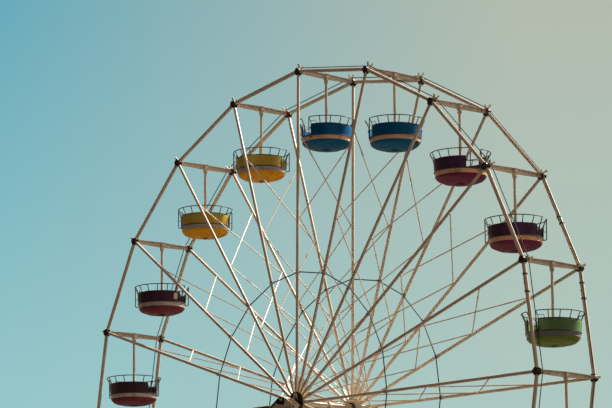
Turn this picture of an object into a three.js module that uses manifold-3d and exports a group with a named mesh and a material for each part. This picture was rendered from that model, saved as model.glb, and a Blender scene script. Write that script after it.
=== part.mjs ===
// Ferris wheel with twenty open round cabins, in millimetres, +Z up.
// The origin is on the ground, in the middle of the four feet. The axle runs along Y.
// The near side is -Y and the far side is +Y.

import * as THREE from 'three';
import { mergeVertices } from 'three/addons/utils/BufferGeometryUtils.js';
import Module from 'manifold-3d';

const wasm = await Module();
wasm.setup();

// Driving dimensions of the wheel
const CABINS = 20;
const PITCH_RADIUS = 11300;
const PLANE_SPACING = 2460;
const HUB_HEIGHT = 14500;
const FIRST_CABIN_ANGLE = THREE.MathUtils.degToRad(161);
const CABIN_STEP = 2 * Math.PI / CABINS;
// Pieces that touch stay this far apart.
const SEAT_GAP = 0.3;
// Cutting shapes and joined shapes run this far past the face they cut or meet.
const OVERRUN = 20;
// Faces that lie within this of one plane become one face.
const FLAT_TOLERANCE = 0.02;

// Rim, one polygon of straight tubes on each side
const RIM_TUBE_RADIUS = 66;
const RIM_TUBE_SIDES = 4;
const NODE_SLEEVE_RADIUS = 125;
const NODE_SLEEVE_HALF_LENGTH = 90;
const NODE_BORE_RADIUS = 50;
const SOCKET_DEPTH_PAST_PLANE = 70;
const EAR_REACH = 240;
const EAR_ROOT = 90;
const EAR_WIDTH = 50;
const EAR_THICKNESS = 44;
const CABLE_RADIUS = 15;
const CABLE_SIDES = 4;
const CABLE_OUTWARD = 128;
const CABLE_INBOARD = 107;

// Spokes, hub and inner ring
const SPOKE_RADIUS = 55;
const SPOKE_SIDES = 4;
const FLANGE_RADIUS = 380;
const FLANGE_THICKNESS = 120;
const SHAFT_RADIUS = 97;
const SHAFT_SIDES = 12;
const FLANGE_BORE_RADIUS = 97.4;
const SHAFT_COLLAR_RADIUS = 135;
const SHAFT_COLLAR_LENGTH = 60;
const DRUM_RADIUS = 130;
const INNER_RING_RADIUS = 4420;
const INNER_RING_BAR_RADIUS = 17;
const INNER_RING_SIDES = 4;

// Hanger, the crossbeam and pole that stay upright with each cabin
const BEAM_DEPTH = 160;
const BEAM_WIDTH = 120;
const BEAM_HALF_LENGTH = PLANE_SPACING / 2 - NODE_SLEEVE_HALF_LENGTH - SEAT_GAP;
const BEAM_TAPER_LENGTH = 940;
const BEAM_END_DEPTH = 115;
const JOURNAL_RADIUS = 40;
const JOURNAL_SIDES = 6;
const JOURNAL_END = 1295;
const POLE_RADIUS = 45;
const POLE_SIDES = 6;
const COLLAR_WIDTH = 190;
const COLLAR_DROP = 150;
const COLLAR_RISE = 12;
const TUB_DROP = 2560;
const PIVOT_PLATE_RADIUS = 150;
const PIVOT_PLATE_THICKNESS = 22;

// Tub, measured from its underside
const TUB_SIDES = 12;
const TUB_HOLE_RADIUS = 54;
const BOWL_KNEE_RADIUS = 520;
const BOWL_KNEE_HEIGHT = 35;
const BOWL_SHOULDER_RADIUS = 740;
const BOWL_SHOULDER_HEIGHT = 125;
const BOWL_RADIUS = 815;
const BAND_RADIUS = 868;
const BAND_BOTTOM = 200;
const BAND_TOP = 380;
const WALL_FOOT_RADIUS = 852;
const WALL_TOP_RADIUS = 880;
const WALL_TOP = 740;
const WALL_TOP_INNER_RADIUS = 850;
const SEAT_BACK_RADIUS = 826;
const SEAT_HEIGHT = 400;
const SEAT_FRONT_RADIUS = 450;
const FLOOR_HEIGHT = 70;
const ENTRY_STEP_HEIGHT = 240;
const GATE_WIDTH = 480;
const GATE_CUT_MARGIN = 60;
const RAIL_RING_RADIUS = 975;
const RAIL_RING_HEIGHT = 980;
const RAIL_BAR_RADIUS = 14;
const RAIL_SIDES = 3;
// The posts of one half of the rail, in degrees from the gate. The other half is the same, turned by 180.
const RAIL_POST_TURNS = [38.7, 83.7, 128.7];
// The rail runs over one side of each gate, and stops this many degrees short of its middle.
const RAIL_END_TURN = THREE.MathUtils.degToRad(6.3);
const GRAB_BAR_FOOT_HEIGHT = 300;
const GRAB_BAR_FOOT_INNER = 780;
// The way each tub is turned about its pole, gate axis from +X, in degrees.
const TUB_TURNS = [14.5, 26.5, 49, 31, -93.5, -117, -16, 21, -93, -100];

// Supports
const TOWER_PLANE = 1700;
const HEAD_WIDTH = 1100;
const HEAD_DEPTH = 340;
const HEAD_THICKNESS = 160;
const BEARING_HALF_WIDTH = 500;
const BEARING_FOOT_THICKNESS = 50;
const BEARING_CAP_HALF_WIDTH = 95;
const BEARING_RISE = 140;
const BEARING_DEPTH = 340;
const BEARING_BELOW = 150;
const BEARING_BORE_RADIUS = 105;
const SHAFT_PAST_TOWER_PLANE = 350;
const SHAFT_HALF_LENGTH = TOWER_PLANE + SHAFT_PAST_TOWER_PLANE;
const HEAD_TOP = HUB_HEIGHT - BEARING_BELOW;
const LEG_SIZE = 320;
const LEG_TOP_X = 300;
const FOOT_X = 4400;
const FOOT_Y = 3200;
const BASE_BEAM_WIDTH = 360;
const BASE_CROSS_WIDTH = 440;
const BASE_BEAM_HEIGHT = 260;
const BASE_PAST_LEG_X = 120;
const BASE_PAST_LEG_Y = 60;
const BASE_HALF_X = FOOT_X + LEG_SIZE / 2 + BASE_PAST_LEG_X;
const BASE_HALF_Y = FOOT_Y + LEG_SIZE / 2 + BASE_PAST_LEG_Y;
const TIE_HEIGHT = 6800;
const TIE_SIZE = 220;
const PLATFORM_LENGTH = 4200;
const PLATFORM_INNER_Y = 1120;
const PLATFORM_HEIGHT = 500;
const PLATFORM_LEVELS = 3;
const STEP_RISE = 170;
const STEP_GOING = 300;
const GEARBOX_SIZE = 380;
const GEARBOX_LENGTH = 420;

// Paint colours
const CREAM = 0xd9cdb8;
const DARK_METAL = 0x3a3430;
const CABLE_GREY = 0x2f3133;
const BASE_GREY = 0x8d8a84;
// Each colour is on two tubs that follow each other.
const TUB_COLOURS = [0x6e1f22, 0xc98f1e, 0x1f5f8a, 0x5c1a2a, 0x5f6b2c];

// Mesh and solid helpers

function paint(colour, roughness = 0.5, metalness = 0.1) {
  return new THREE.MeshStandardMaterial({ color: colour, roughness, metalness });
}

function signedVolume(position, index) {
  const a = new THREE.Vector3();
  const b = new THREE.Vector3();
  const c = new THREE.Vector3();
  let volume = 0;
  for (let i = 0; i < index.length; i += 3) {
    a.fromBufferAttribute(position, index[i]);
    b.fromBufferAttribute(position, index[i + 1]);
    c.fromBufferAttribute(position, index[i + 2]);
    volume += a.dot(b.cross(c));
  }
  return volume;
}

// A closed geometry with shared vertices, turned so that its faces point out, becomes a solid.
function solidOf(geometry) {
  const bare = geometry.clone();
  bare.deleteAttribute('normal');
  bare.deleteAttribute('uv');
  const merged = mergeVertices(bare, 0.001);
  const index = Uint32Array.from(merged.index.array);
  if (signedVolume(merged.attributes.position, index) < 0) {
    for (let i = 0; i < index.length; i += 3) {
      const held = index[i + 1];
      index[i + 1] = index[i + 2];
      index[i + 2] = held;
    }
  }
  const vertProperties = Float32Array.from(merged.attributes.position.array);
  return new wasm.Manifold(new wasm.Mesh({ numProp: 3, vertProperties, triVerts: index }));
}

function geometryOf(solid) {
  const mesh = solid.asOriginal().simplify(FLAT_TOLERANCE).getMesh();
  const geometry = new THREE.BufferGeometry();
  geometry.setAttribute('position', new THREE.BufferAttribute(Float32Array.from(mesh.vertProperties), 3));
  geometry.setIndex(new THREE.BufferAttribute(Uint32Array.from(mesh.triVerts), 1));
  geometry.computeVertexNormals();
  return geometry;
}

function join(geometries) {
  const solids = geometries.map(solidOf);
  return solids.reduce((whole, piece) => whole.add(piece));
}

function meshOf(name, solid, material) {
  const mesh = new THREE.Mesh(geometryOf(solid), material);
  mesh.name = name;
  return mesh;
}

// Corner points of a regular polygon, with its first corner turned by half a side when flat is true.
function polygonPoints(sides, radius, flat = false) {
  const points = [];
  for (let i = 0; i < sides; i += 1) {
    const angle = 2 * Math.PI * (i + (flat ? 0.5 : 0)) / sides;
    points.push(new THREE.Vector2(radius * Math.cos(angle), radius * Math.sin(angle)));
  }
  return points;
}

function extrude(points, length, holes = []) {
  const shape = new THREE.Shape(points);
  for (const hole of holes) {
    shape.holes.push(new THREE.Path(hole));
  }
  return new THREE.ExtrudeGeometry(shape, { depth: length, bevelEnabled: false, steps: 1 });
}

// A straight bar with a regular polygon as its section, between two points.
function bar(from, to, radius, sides) {
  const direction = new THREE.Vector3().subVectors(to, from);
  const geometry = extrude(polygonPoints(sides, radius, true), direction.length());
  const turn = new THREE.Quaternion().setFromUnitVectors(new THREE.Vector3(0, 0, 1), direction.normalize());
  geometry.applyQuaternion(turn);
  geometry.translate(from.x, from.y, from.z);
  return geometry;
}

function block(low, high) {
  const geometry = new THREE.BoxGeometry(high[0] - low[0], high[1] - low[1], high[2] - low[2]);
  geometry.translate((low[0] + high[0]) / 2, (low[1] + high[1]) / 2, (low[2] + high[2]) / 2);
  return geometry;
}

// A prism along Y, from an outline in X and Z.
function prismAlongY(points, fromY, toY, holes = []) {
  const geometry = extrude(points, toY - fromY, holes);
  geometry.rotateX(Math.PI / 2);
  geometry.translate(0, toY, 0);
  return geometry;
}

// A ring around the axle, with one straight stretch from each cabin place to the next.
function ringAroundAxle(radius, planeY, barRadius, sides) {
  const profile = polygonPoints(sides, barRadius, true);
  const points = profile.map((point) => new THREE.Vector2(radius + point.x, planeY + point.y));
  points.push(points[0].clone());
  return new THREE.LatheGeometry(points, CABINS, Math.PI / 2 - FIRST_CABIN_ANGLE, 2 * Math.PI);
}

// A closed outline of radius and height pairs, turned round Z.
function latheAlongZ(pairs) {
  const points = [...pairs, pairs[0]].map(([radius, height]) => new THREE.Vector2(radius, height));
  const geometry = new THREE.LatheGeometry(points, TUB_SIDES, Math.PI / 2 - Math.PI / TUB_SIDES, 2 * Math.PI);
  geometry.rotateX(Math.PI / 2);
  return geometry;
}

function outlineOf(pairs) {
  return pairs.map(([x, y]) => new THREE.Vector2(x, y));
}

function rectangle(halfX, halfY) {
  return outlineOf([[-halfX, -halfY], [halfX, -halfY], [halfX, halfY], [-halfX, halfY]]);
}

function cabinAngle(index) {
  return FIRST_CABIN_ANGLE - index * CABIN_STEP;
}

// Turns a geometry built at the three o'clock place round the axle to a cabin place.
function atCabinPlace(geometry, index) {
  geometry.rotateY(-cabinAngle(index));
  return geometry;
}

// Wheel

function rim(side) {
  const planeY = side * PLANE_SPACING / 2;
  const inboard = -side;
  let solid = solidOf(ringAroundAxle(PITCH_RADIUS, planeY, RIM_TUBE_RADIUS, RIM_TUBE_SIDES));
  const sleeveEnds = [planeY - NODE_SLEEVE_HALF_LENGTH, planeY + NODE_SLEEVE_HALF_LENGTH];
  const cableHalfWidth = CABLE_RADIUS * Math.cos(Math.PI / CABLE_SIDES);
  const earFace = planeY + inboard * (CABLE_INBOARD - cableHalfWidth - SEAT_GAP);
  const earBack = earFace - inboard * EAR_THICKNESS;
  for (let i = 0; i < CABINS; i += 1) {
    const sleeve = prismAlongY(polygonPoints(JOURNAL_SIDES, NODE_SLEEVE_RADIUS, true), ...sleeveEnds);
    sleeve.translate(PITCH_RADIUS, 0, 0);
    const ear = block(
      [PITCH_RADIUS + EAR_ROOT, Math.min(earFace, earBack), -EAR_WIDTH / 2],
      [PITCH_RADIUS + EAR_REACH, Math.max(earFace, earBack), EAR_WIDTH / 2]);
    solid = solid.add(solidOf(atCabinPlace(sleeve, i))).add(solidOf(atCabinPlace(ear, i)));
  }
  for (let i = 0; i < CABINS; i += 1) {
    const mouth = planeY - side * (NODE_SLEEVE_HALF_LENGTH + OVERRUN);
    const bottom = planeY + side * SOCKET_DEPTH_PAST_PLANE;
    const section = polygonPoints(JOURNAL_SIDES, NODE_BORE_RADIUS, true);
    const bore = prismAlongY(section, Math.min(mouth, bottom), Math.max(mouth, bottom));
    bore.translate(PITCH_RADIUS, 0, 0);
    solid = solid.subtract(solidOf(atCabinPlace(bore, i)));
  }
  return solid;
}

function rimCable(side) {
  const planeY = side * (PLANE_SPACING / 2 - CABLE_INBOARD);
  return solidOf(ringAroundAxle(PITCH_RADIUS + CABLE_OUTWARD, planeY, CABLE_RADIUS, CABLE_SIDES));
}

function spokes(side) {
  const planeY = side * PLANE_SPACING / 2;
  const sleeveFlat = NODE_SLEEVE_RADIUS * Math.cos(Math.PI / JOURNAL_SIDES);
  const flangeOutline = [];
  for (let i = 0; i < CABINS; i += 1) {
    const angle = cabinAngle(i) + CABIN_STEP / 2;
    flangeOutline.push(new THREE.Vector2(FLANGE_RADIUS * Math.cos(angle), FLANGE_RADIUS * Math.sin(angle)));
  }
  const bore = polygonPoints(SHAFT_SIDES, FLANGE_BORE_RADIUS);
  const halfFlange = FLANGE_THICKNESS / 2;
  const flange = prismAlongY(flangeOutline, planeY - halfFlange, planeY + halfFlange, [bore]);
  let solid = solidOf(flange);
  const spokeFoot = FLANGE_RADIUS * Math.cos(CABIN_STEP / 2) - OVERRUN;
  const spokeTip = PITCH_RADIUS - sleeveFlat - SEAT_GAP;
  for (let i = 0; i < CABINS; i += 1) {
    const spoke = bar(
      new THREE.Vector3(spokeFoot, planeY, 0),
      new THREE.Vector3(spokeTip, planeY, 0),
      SPOKE_RADIUS, SPOKE_SIDES);
    solid = solid.add(solidOf(atCabinPlace(spoke, i)));
  }
  return solid;
}

// The inner ring lies against the inboard side of its spokes.
function innerRing(side) {
  const spokeHalfWidth = SPOKE_RADIUS * Math.cos(Math.PI / SPOKE_SIDES);
  const barHalfWidth = INNER_RING_BAR_RADIUS * Math.cos(Math.PI / INNER_RING_SIDES);
  const planeY = side * (PLANE_SPACING / 2 - spokeHalfWidth - SEAT_GAP - barHalfWidth);
  return solidOf(ringAroundAxle(INNER_RING_RADIUS, planeY, INNER_RING_BAR_RADIUS, INNER_RING_SIDES));
}

// The shaft's collars bear against the inboard faces of the two bearings.
function hubAxle() {
  const collarOuter = TOWER_PLANE - BEARING_DEPTH / 2 - SEAT_GAP;
  const collarInner = collarOuter - SHAFT_COLLAR_LENGTH;
  const drumEnd = PLANE_SPACING / 2 - FLANGE_THICKNESS / 2 - SEAT_GAP;
  const points = [
    new THREE.Vector2(0, -SHAFT_HALF_LENGTH),
    new THREE.Vector2(SHAFT_RADIUS, -SHAFT_HALF_LENGTH),
    new THREE.Vector2(SHAFT_RADIUS, -collarOuter),
    new THREE.Vector2(SHAFT_COLLAR_RADIUS, -collarOuter),
    new THREE.Vector2(SHAFT_COLLAR_RADIUS, -collarInner),
    new THREE.Vector2(SHAFT_RADIUS, -collarInner),
    new THREE.Vector2(SHAFT_RADIUS, -drumEnd),
    new THREE.Vector2(DRUM_RADIUS, -drumEnd),
    new THREE.Vector2(DRUM_RADIUS, drumEnd),
    new THREE.Vector2(SHAFT_RADIUS, drumEnd),
    new THREE.Vector2(SHAFT_RADIUS, collarInner),
    new THREE.Vector2(SHAFT_COLLAR_RADIUS, collarInner),
    new THREE.Vector2(SHAFT_COLLAR_RADIUS, collarOuter),
    new THREE.Vector2(SHAFT_RADIUS, collarOuter),
    new THREE.Vector2(SHAFT_RADIUS, SHAFT_HALF_LENGTH),
    new THREE.Vector2(0, SHAFT_HALF_LENGTH),
  ];
  return solidOf(new THREE.LatheGeometry(points, SHAFT_SIDES, Math.PI / 2, 2 * Math.PI));
}

// Cabin, measured from the middle of its crossbeam

function hanger() {
  const half = BEAM_DEPTH / 2;
  const end = BEAM_END_DEPTH / 2;
  const full = BEAM_HALF_LENGTH - BEAM_TAPER_LENGTH;
  const outline = outlineOf([
    [-BEAM_HALF_LENGTH, end], [-BEAM_HALF_LENGTH, -end], [-full, -half],
    [full, -half], [BEAM_HALF_LENGTH, -end], [BEAM_HALF_LENGTH, end], [full, half], [-full, half],
  ]);
  const beam = extrude(outline, BEAM_WIDTH);
  beam.translate(0, 0, -BEAM_WIDTH / 2);
  // The outline's first axis becomes Y and its second becomes Z.
  beam.applyMatrix4(new THREE.Matrix4().set(0, 0, 1, 0, 1, 0, 0, 0, 0, 1, 0, 0, 0, 0, 0, 1));
  const journal = prismAlongY(polygonPoints(JOURNAL_SIDES, JOURNAL_RADIUS, true), -JOURNAL_END, JOURNAL_END);
  const collar = block(
    [-COLLAR_WIDTH / 2, -COLLAR_WIDTH / 2, -half - COLLAR_DROP],
    [COLLAR_WIDTH / 2, COLLAR_WIDTH / 2, half + COLLAR_RISE]);
  const poleFoot = -TUB_DROP - SEAT_GAP - PIVOT_PLATE_THICKNESS / 2;
  const pole = bar(new THREE.Vector3(0, 0, poleFoot), new THREE.Vector3(0, 0, 0), POLE_RADIUS, POLE_SIDES);
  const plateTop = -TUB_DROP - SEAT_GAP;
  const plate = bar(
    new THREE.Vector3(0, 0, plateTop - PIVOT_PLATE_THICKNESS),
    new THREE.Vector3(0, 0, plateTop),
    PIVOT_PLATE_RADIUS, POLE_SIDES);
  return join([beam, journal, collar, pole, plate]);
}

// The rail ring is broken at both gates. One end turns down into a grab bar that meets the band,
// and the other end stands on a post in the gate.
function tub() {
  const profile = [
    [TUB_HOLE_RADIUS, 0], [BOWL_KNEE_RADIUS, BOWL_KNEE_HEIGHT], [BOWL_SHOULDER_RADIUS, BOWL_SHOULDER_HEIGHT],
    [BOWL_RADIUS, BAND_BOTTOM], [BAND_RADIUS, BAND_TOP], [WALL_FOOT_RADIUS, BAND_TOP],
    [WALL_TOP_RADIUS, WALL_TOP], [WALL_TOP_INNER_RADIUS, WALL_TOP], [SEAT_BACK_RADIUS, SEAT_HEIGHT],
    [SEAT_FRONT_RADIUS, SEAT_HEIGHT], [SEAT_FRONT_RADIUS, FLOOR_HEIGHT], [TUB_HOLE_RADIUS, FLOOR_HEIGHT],
  ];
  const flatShare = Math.cos(Math.PI / TUB_SIDES);
  const halfGate = GATE_WIDTH / 2;
  const gateReach = RAIL_RING_RADIUS + GATE_CUT_MARGIN;
  const wallCutTop = WALL_TOP + GATE_CUT_MARGIN;
  const ringCutTop = RAIL_RING_HEIGHT + GATE_CUT_MARGIN;
  const entryReach = SEAT_BACK_RADIUS * flatShare;
  const ringProfile = polygonPoints(RAIL_SIDES, RAIL_BAR_RADIUS)
    .map((point) => [RAIL_RING_RADIUS + point.x, RAIL_RING_HEIGHT + point.y]);
  let solid = solidOf(latheAlongZ(profile)).add(solidOf(latheAlongZ(ringProfile)));
  const entry = block([-entryReach, -halfGate, ENTRY_STEP_HEIGHT], [entryReach, halfGate, wallCutTop]);
  const gate = block([-gateReach, -halfGate, BAND_TOP], [gateReach, halfGate, wallCutTop]);
  solid = solid.subtract(solidOf(entry)).subtract(solidOf(gate));
  const wallMiddle = (WALL_TOP_RADIUS + WALL_TOP_INNER_RADIUS) / 2 * flatShare;
  const ringMiddle = RAIL_RING_RADIUS * flatShare;
  const overlap = RAIL_BAR_RADIUS / 2;
  const barY = halfGate + overlap;
  const endY = -ringMiddle * Math.tan(RAIL_END_TURN);
  const barTop = new THREE.Vector3(ringMiddle, barY, RAIL_RING_HEIGHT);
  const barFoot = new THREE.Vector3(ringMiddle, barY, GRAB_BAR_FOOT_HEIGHT);
  const barReach = new THREE.Vector3(ringMiddle + overlap, barY, GRAB_BAR_FOOT_HEIGHT);
  const bandSpot = new THREE.Vector3(GRAB_BAR_FOOT_INNER, barY, GRAB_BAR_FOOT_HEIGHT);
  const postFoot = new THREE.Vector3(wallMiddle, 0, WALL_TOP - OVERRUN);
  const postTop = new THREE.Vector3(ringMiddle, 0, RAIL_RING_HEIGHT);
  const endTop = new THREE.Vector3(ringMiddle, endY, RAIL_RING_HEIGHT);
  const endFoot = new THREE.Vector3(WALL_FOOT_RADIUS * flatShare, endY, BAND_TOP - OVERRUN);
  for (const turn of [0, Math.PI]) {
    const gap = block([entryReach, endY + overlap, wallCutTop], [gateReach, halfGate, ringCutTop]);
    solid = solid.subtract(solidOf(gap.rotateZ(turn)));
    for (const [from, to] of [[barFoot, barTop], [bandSpot, barReach], [endFoot, endTop]]) {
      const railBar = bar(from, to, RAIL_BAR_RADIUS, RAIL_SIDES);
      solid = solid.add(solidOf(railBar.rotateZ(turn)));
    }
    for (const postTurn of RAIL_POST_TURNS) {
      const post = bar(postFoot, postTop, RAIL_BAR_RADIUS, RAIL_SIDES);
      solid = solid.add(solidOf(post.rotateZ(turn + THREE.MathUtils.degToRad(postTurn))));
    }
  }
  return solid;
}

// Supports, one tower on each side of the wheel

// A leg with level ends, square in plan, between a place under the head and its foot.
function leg(side, hand) {
  const top = new THREE.Vector3(hand * LEG_TOP_X, side * TOWER_PLANE, HEAD_TOP - HEAD_THICKNESS / 2);
  const foot = new THREE.Vector3(hand * FOOT_X, side * FOOT_Y, BASE_BEAM_HEIGHT + SEAT_GAP);
  const geometry = new THREE.BoxGeometry(LEG_SIZE, LEG_SIZE, 1);
  const position = geometry.attributes.position;
  for (let i = 0; i < position.count; i += 1) {
    const end = position.getZ(i) > 0 ? top : foot;
    position.setXYZ(i, position.getX(i) + end.x, position.getY(i) + end.y, end.z);
  }
  return geometry;
}

// The tie between the legs lies in their plane, at its own height.
function tower(side) {
  const head = block(
    [-HEAD_WIDTH / 2, side * TOWER_PLANE - HEAD_DEPTH / 2, HEAD_TOP - HEAD_THICKNESS],
    [HEAD_WIDTH / 2, side * TOWER_PLANE + HEAD_DEPTH / 2, HEAD_TOP]);
  const climb = (TIE_HEIGHT - BASE_BEAM_HEIGHT) / (HEAD_TOP - BASE_BEAM_HEIGHT);
  const tieX = FOOT_X + (LEG_TOP_X - FOOT_X) * climb;
  const tieY = side * (FOOT_Y + (TOWER_PLANE - FOOT_Y) * climb);
  const tie = block(
    [-tieX, tieY - TIE_SIZE / 2, TIE_HEIGHT - TIE_SIZE / 2],
    [tieX, tieY + TIE_SIZE / 2, TIE_HEIGHT + TIE_SIZE / 2]);
  return join([leg(side, -1), leg(side, 1), head, tie]);
}

// A low plummer block with sloping shoulders.
function bearing(side) {
  const fromY = side * TOWER_PLANE - BEARING_DEPTH / 2;
  const toY = side * TOWER_PLANE + BEARING_DEPTH / 2;
  const foot = -BEARING_BELOW + SEAT_GAP;
  const shoulder = foot + BEARING_FOOT_THICKNESS;
  const outline = outlineOf([
    [-BEARING_HALF_WIDTH, foot], [BEARING_HALF_WIDTH, foot], [BEARING_HALF_WIDTH, shoulder],
    [BEARING_CAP_HALF_WIDTH, BEARING_RISE], [-BEARING_CAP_HALF_WIDTH, BEARING_RISE],
    [-BEARING_HALF_WIDTH, shoulder],
  ]);
  return solidOf(prismAlongY(outline, fromY, toY, [polygonPoints(SHAFT_SIDES, BEARING_BORE_RADIUS)]));
}

function gearbox() {
  const fromY = TOWER_PLANE + BEARING_DEPTH / 2 + SEAT_GAP;
  const toY = fromY + GEARBOX_LENGTH;
  const half = GEARBOX_SIZE / 2;
  const body = block([-half, fromY, -half], [half, toY, half]);
  const section = polygonPoints(SHAFT_SIDES, BEARING_BORE_RADIUS);
  const bore = prismAlongY(section, fromY - OVERRUN, SHAFT_HALF_LENGTH + OVERRUN);
  return solidOf(body).subtract(solidOf(bore));
}

function baseFrame() {
  const outer = rectangle(BASE_HALF_X, BASE_HALF_Y);
  const inner = rectangle(BASE_HALF_X - BASE_CROSS_WIDTH, BASE_HALF_Y - BASE_BEAM_WIDTH);
  return solidOf(extrude(outer, BASE_BEAM_HEIGHT, [inner]));
}

function platform(side) {
  const inner = side * PLATFORM_INNER_Y;
  const outer = side * (BASE_HALF_Y - BASE_BEAM_WIDTH - SEAT_GAP);
  const half = PLATFORM_LENGTH / 2;
  const pieces = [];
  for (let level = 0; level < PLATFORM_LEVELS; level += 1) {
    const reach = half + level * STEP_GOING;
    pieces.push(block(
      [-reach, Math.min(inner, outer), 0],
      [reach, Math.max(inner, outer), PLATFORM_HEIGHT - level * STEP_RISE]));
  }
  return join(pieces);
}

// The whole wheel

const machine = new THREE.Group();

const turning = new THREE.Group();
turning.position.z = HUB_HEIGHT;
machine.add(turning);
for (const [sideName, side] of [['near', -1], ['far', 1]]) {
  turning.add(meshOf(`${sideName}_rim`, rim(side), paint(CREAM)));
  turning.add(meshOf(`${sideName}_spokes`, spokes(side), paint(CREAM)));
  turning.add(meshOf(`${sideName}_inner_ring`, innerRing(side), paint(DARK_METAL, 0.6, 0.4)));
  turning.add(meshOf(`${sideName}_rim_cable`, rimCable(side), paint(CABLE_GREY, 0.6, 0.5)));
  turning.add(meshOf(`${sideName}_bearing`, bearing(side), paint(DARK_METAL, 0.5, 0.5)));
  machine.add(meshOf(`${sideName}_tower`, tower(side), paint(CREAM)));
  machine.add(meshOf(`${sideName}_platform`, platform(side), paint(BASE_GREY, 0.7, 0.3)));
}
turning.add(meshOf('hub_axle', hubAxle(), paint(CREAM)));
turning.add(meshOf('drive_gearbox', gearbox(), paint(DARK_METAL, 0.5, 0.4)));
machine.add(meshOf('base_frame', baseFrame(), paint(BASE_GREY, 0.6, 0.3)));

const hangerSolid = hanger();
const tubSolid = tub();
for (let i = 0; i < CABINS; i += 1) {
  const cabin = new THREE.Group();
  cabin.position.set(PITCH_RADIUS * Math.cos(cabinAngle(i)), 0, PITCH_RADIUS * Math.sin(cabinAngle(i)));
  const number = String(i + 1).padStart(2, '0');
  cabin.add(meshOf(`hanger_${number}`, hangerSolid, paint(CREAM)));
  const colour = TUB_COLOURS[Math.floor(i / 2) % TUB_COLOURS.length];
  const seat = meshOf(`tub_${number}`, tubSolid, paint(colour, 0.35, 0));
  seat.position.z = -TUB_DROP;
  seat.rotation.z = THREE.MathUtils.degToRad(TUB_TURNS[i % TUB_TURNS.length]);
  cabin.add(seat);
  turning.add(cabin);
}

export default machine;
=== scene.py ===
"""The looks of the ferris wheel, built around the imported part.

Metres, +Z up, the axle along Y, the near side at -Y. Every piece is made in place.
"""

import math

import bmesh
import bpy
import numpy as np
from mathutils import Matrix


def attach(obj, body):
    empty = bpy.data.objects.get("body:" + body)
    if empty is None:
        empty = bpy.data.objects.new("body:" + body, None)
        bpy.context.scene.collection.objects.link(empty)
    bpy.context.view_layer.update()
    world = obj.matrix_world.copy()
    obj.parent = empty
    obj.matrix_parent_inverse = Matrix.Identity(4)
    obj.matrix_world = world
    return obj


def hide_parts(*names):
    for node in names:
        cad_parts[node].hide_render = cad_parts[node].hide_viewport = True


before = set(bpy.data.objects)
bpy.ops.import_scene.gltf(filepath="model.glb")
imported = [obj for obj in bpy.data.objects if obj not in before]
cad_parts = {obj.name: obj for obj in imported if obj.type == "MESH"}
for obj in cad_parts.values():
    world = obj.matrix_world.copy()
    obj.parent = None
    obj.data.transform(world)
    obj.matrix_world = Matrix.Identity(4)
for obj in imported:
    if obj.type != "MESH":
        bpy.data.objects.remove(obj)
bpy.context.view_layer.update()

# Driving sizes, with the wheel's angles from +X towards +Z, and the tubs' about their poles

CABINS = 20
RADIUS = 11.3
HUB_Z = 14.5
RIM_Y = 1.23
FIRST_ANGLE = 161.0
STEP = 360 / CABINS
TUB_DROP = 2.56
TUB_TURNS = [14.5, 26.5, 49, 31, -93.5, -117, -16, 21, -93, -100]


# Placements

def unit(vector):
    vector = np.asarray(vector, float)
    return vector / np.linalg.norm(vector)


def on_ring(degrees, radius=1.0, height=0.0):
    """The point at a turn about Z, a radius and a height."""
    a = math.radians(degrees)
    return np.array([radius * math.cos(a), radius * math.sin(a), height])


def place(origin=(0, 0, 0), x=(1, 0, 0), y=(0, 1, 0), z=(0, 0, 1)):
    """A placement, from where a shape's own origin, X, Y and Z come to lie."""
    matrix = np.eye(4)
    matrix[:3] = np.column_stack([x, y, z, origin])
    return matrix


def facing(origin, normal, up=(0.0, 0.0, 1.0)):
    """Own Z along normal."""
    z = unit(normal)
    if abs(np.dot(z, up)) > 0.99:
        up = (1.0, 0.0, 0.0)
    x = unit(np.cross(up, z))
    return place(origin, x, np.cross(z, x), z)


def spun(degrees):
    """Turned about Z."""
    return place(x=on_ring(degrees), y=on_ring(degrees + 90))


def flipped(origin=(0, 0, 0), end=-1):
    """Turned over about X, or with end 1 as it was."""
    return place(origin, y=(0, end, 0), z=(0, 0, end))


def lying(origin=(0, 0, 0)):
    """Own Z along Y."""
    return place(origin, y=(0, 0, -1), z=(0, 1, 0))


def upright(origin=(0, 0, 0), hand=1, face=1):
    """Own X to one hand, own Y up, and own Z along the axle towards one face."""
    return place(origin, (hand, 0, 0), (0, 0, 1), (0, face, 0))


def crosswise(origin=(0, 0, 0), hand=1):
    """Own X along Y to one hand, own Y up, own Z along X."""
    return place(origin, (0, hand, 0), (0, 0, 1), (1, 0, 0))


def end_on(origin=(0, 0, 0), hand=1):
    """Own X up, own Z along X to one hand."""
    return place(origin, (0, 0, 1), z=(hand, 0, 0))


def fin_at(degrees, height=0.0):
    """Own X away from the Z axis at a turn, own Y along Z."""
    return place((0, 0, height), on_ring(degrees), (0, 0, 1), on_ring(degrees - 90))


# Shapes

class Shape:
    """Points and faces that later become one mesh. A face's paint is the number of its material."""

    def __init__(self):
        self.points = []
        self.faces = []
        self.paints = []
        self.count = 0

    def put(self, points, faces, paints):
        self.faces += [tuple(i + self.count for i in face) for face in faces]
        self.paints += paints
        self.points.append(points)
        self.count += len(points)
        return self

    def add(self, other, where=None, paint=None):
        """Adds another shape at a placement or at a plain point."""
        points = np.concatenate(other.points)
        if where is not None:
            if np.ndim(where) == 1:
                where = place(where)
            points = points @ where[:3, :3].T + where[:3, 3]
        return self.put(points, other.faces, other.paints if paint is None else [paint] * len(other.faces))

    def bolts(self, fastener, spots, height=0.0, paint=0, where=np.eye(4)):
        for x, y in spots:
            self.add(fastener, where @ place((x, y, height)), paint)
        return self

    def pair(self, other, offset, where=np.eye(4)):
        """Adds another shape twice, on both sides of a placement."""
        for hand in (-1, 1):
            self.add(other, where @ place(np.multiply(offset, hand)))
        return self


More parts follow.
